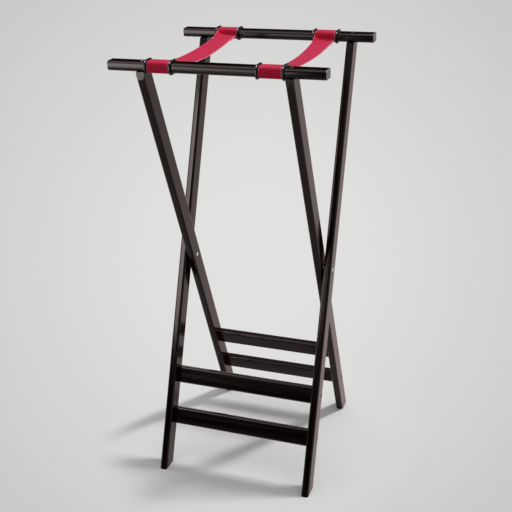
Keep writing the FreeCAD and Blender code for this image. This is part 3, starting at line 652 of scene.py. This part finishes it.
floorPaper, tree = newMaterial("matt_paper_floor")  # soft white, no gloss, with a painted pool of light: slowly darker away from the stand
place = addNode(tree, "ShaderNodeTexCoord").outputs["Object"]
pool = addNode(tree, "ShaderNodeMapping", {
    "Vector": place, "Location": studio["poolPlace"], "Scale": studio["poolReach"],
    "Rotation": (0.0, 0.0, math.radians(studio["poolTurn"]))}, vector_type="TEXTURE").outputs[0]
towardsBack = addNode(tree, "ShaderNodeSeparateXYZ", {"Vector": pool}).outputs["Y"]
widening = addNode(tree, "ShaderNodeMath", {
    0: towardsBack, 1: studio["poolWidening"], 2: 1.0}, operation="MULTIPLY_ADD")
widened = addNode(tree, "ShaderNodeMath", {
    0: widening.outputs[0], 1: studio["poolNarrowest"]}, operation="MAXIMUM")
fromPool = addNode(tree, "ShaderNodeVectorMath", {0: pool}, operation="LENGTH")
fade = addNode(tree, "ShaderNodeMath", {
    0: fromPool.outputs["Value"], 1: widened.outputs[0]}, operation="DIVIDE")
paper = addNode(tree, "ShaderNodeValToRGB", {"Fac": fade.outputs[0]}, studio["paintedPoolColours"]).outputs["Color"]
speck = addNode(tree, "ShaderNodeTexNoise", {
    "Vector": place, "Scale": 1 / studio["floorSpeck"], "Detail": 2.0})
speckBump = addNode(tree, "ShaderNodeBump", {
    "Height": speck.outputs["Fac"], "Strength": studio["speckBump"], "Distance": studio["speckDepth"]})
floorSeen = seenDirectly(tree)
bounce = addNode(tree, "ShaderNodeMapRange", {
    "Value": floorSeen, "To Min": studio["floorBounce"], "To Max": 1.0})
litPaper = addNode(tree, "ShaderNodeVectorMath", {0: paper, "Scale": bounce.outputs[0]}, operation="SCALE")
lit = addNode(tree, "ShaderNodeBsdfPrincipled", {
    "Base Color": litPaper.outputs[0], "Roughness": studio["floorRoughness"],
    "Specular IOR Level": studio["floorGloss"], "Normal": speckBump.outputs["Normal"]})
# beyond the stand the paper glows with its painted pool of light, which wipes out the far cast shadows for
# the camera and the gloss
fromStand = addNode(tree, "ShaderNodeVectorMath", {0: place}, operation="LENGTH")
beyond = addNode(tree, "ShaderNodeMapRange", {
    "Value": fromStand.outputs["Value"], "From Min": studio["shadowFade"][0],
    "From Max": studio["shadowFade"][1]}, interpolation_type="SMOOTHSTEP")
paintedGlowShare = addNode(tree, "ShaderNodeMath", {0: beyond.outputs[0], 1: floorSeen}, operation="MULTIPLY")
paintedGlow = addNode(tree, "ShaderNodeEmission", {"Color": paper, "Strength": studio["paintedGlowLevel"]})
floorShader = addNode(tree, "ShaderNodeMixShader", {
    0: paintedGlowShare.outputs[0], 1: lit.outputs[0], 2: paintedGlow.outputs[0]})
addNode(tree, "ShaderNodeOutputMaterial", {"Surface": floorShader.outputs[0]})
floorPaper.cycles.emission_sampling = "NONE"  # its painted glow is not sampled as a lamp
half = studio["floorSize"] / 2
floorMesh = bpy.data.meshes.new("paper_floor")
floorCorners = [(-half, -half, 0), (half, -half, 0), (half, half, 0), (-half, half, 0)]
floorMesh.from_pydata(floorCorners, [], [(0, 1, 2, 3)])
floorMesh.materials.append(floorPaper)
floor = bpy.data.objects.new("paper_floor", floorMesh)
bpy.context.scene.collection.objects.link(floor)

world = bpy.data.worlds.new("studio_room")
world.use_nodes = True
tree = world.node_tree
tree.nodes.clear()
direction = addNode(tree, "ShaderNodeSeparateXYZ", {
    "Vector": addNode(tree, "ShaderNodeTexCoord").outputs["Generated"]})
skyGlow = addNode(tree, "ShaderNodeValToRGB", {"Fac": direction.outputs["Z"]}, [
    (height, (glow, glow, glow, 1.0)) for height, glow in studio["sky"]])
room = addNode(tree, "ShaderNodeMix", {
    "Factor": seenDirectly(tree), "A": skyGlow.outputs["Color"], "B": toLinear(studio["backdrop"])[:3]},
    data_type="VECTOR")
background = addNode(tree, "ShaderNodeBackground", {"Color": room.outputs[1]})
addNode(tree, "ShaderNodeOutputWorld", {"Surface": background.outputs[0]})
bpy.context.scene.world = world

keyData = bpy.data.lights.new("strip_key", "AREA")
keyData.shape = "RECTANGLE"
keyData.size, keyData.size_y = studio["keyWidth"], studio["keyLength"]
keyData.energy = studio["keyStrength"] * math.pi * studio["keyDistance"] ** 2
key = bpy.data.objects.new("strip_key", keyData)
keyBack = Vector(studio["keyTowards"]).normalized()
keySide = Vector((0.0, 0.0, 1.0)).cross(keyBack).normalized()  # the strip stands upright
key.matrix_world = (Matrix.Translation(keyBack * studio["keyDistance"])
                    @ Matrix((keySide, keyBack.cross(keySide), keyBack)).transposed().to_4x4())
bpy.context.scene.collection.objects.link(key)

# white cards that only the gloss sees
for name, cardPlace, facedHeight, width, height, glow in studio["cards"]:
    cardData = bpy.data.lights.new(name, "AREA")
    cardData.shape = "RECTANGLE"
    cardData.size, cardData.size_y = width, height
    cardData.energy = glow * math.pi * width * height
    card = bpy.data.objects.new(name, cardData)
    card.location = cardPlace
    cardBack = Vector(cardPlace) - Vector((0.0, 0.0, facedHeight))
    card.rotation_euler = cardBack.to_track_quat("Z", "Y").to_euler()
    card.visible_camera = False
    card.visible_diffuse = False
    bpy.context.scene.collection.objects.link(card)

flagCloth, tree = newMaterial("black_flag_cloth")  # drinks nearly all the light
clothShader = addNode(tree, "ShaderNodeBsdfPrincipled", {
    "Base Color": toLinear(studio["flagColour"]), "Roughness": 1.0, "Specular IOR Level": 0.0})
addNode(tree, "ShaderNodeOutputMaterial", {"Surface": clothShader.outputs[0]})
for name, (flagX, flagY, flagZ), width, height in studio["flags"]:
    flagMesh = bpy.data.meshes.new(name)
    flagMesh.from_pydata([(flagX + sx * width / 2, flagY, flagZ + sz * height / 2)
                          for sx, sz in ((-1, -1), (1, -1), (1, 1), (-1, 1))], [], [(0, 1, 2, 3)])
    flagMesh.materials.append(flagCloth)
    flag = bpy.data.objects.new(name, flagMesh)
    flag.visible_camera = flag.visible_diffuse = flag.visible_shadow = flag.visible_transmission = False
    bpy.context.scene.collection.objects.link(flag)

# camera as fitted to the picture, the image taken as 512 x 512
shot = dict(place=(0.69041, -1.83917, 1.3328), lens=65.49, sensor=36.0, yaw=20.559, pitch=23.353, roll=-1.944)
yaw, pitch, roll = (math.radians(shot[turn]) for turn in ("yaw", "pitch", "roll"))
view = Vector((-math.sin(yaw) * math.cos(pitch), math.cos(yaw) * math.cos(pitch), -math.sin(pitch)))
right = Vector((math.cos(yaw), math.sin(yaw), 0.0))
up = right.cross(view)
pictureRight = right * math.cos(roll) + up * math.sin(roll)
pictureUp = up * math.cos(roll) - right * math.sin(roll)
cameraData = bpy.data.cameras.new("photo_camera")
cameraData.sensor_width = shot["sensor"]
cameraData.sensor_fit = "HORIZONTAL"
cameraData.lens = shot["lens"]
camera = bpy.data.objects.new("photo_camera", cameraData)
camera.matrix_world = (Matrix.Translation(Vector(shot["place"]))
                       @ Matrix((pictureRight, pictureUp, -view)).transposed().to_4x4())
bpy.context.scene.collection.objects.link(camera)
bpy.context.scene.camera = camera
bpy.context.scene.view_settings.view_transform = "Standard"
print("studio set")
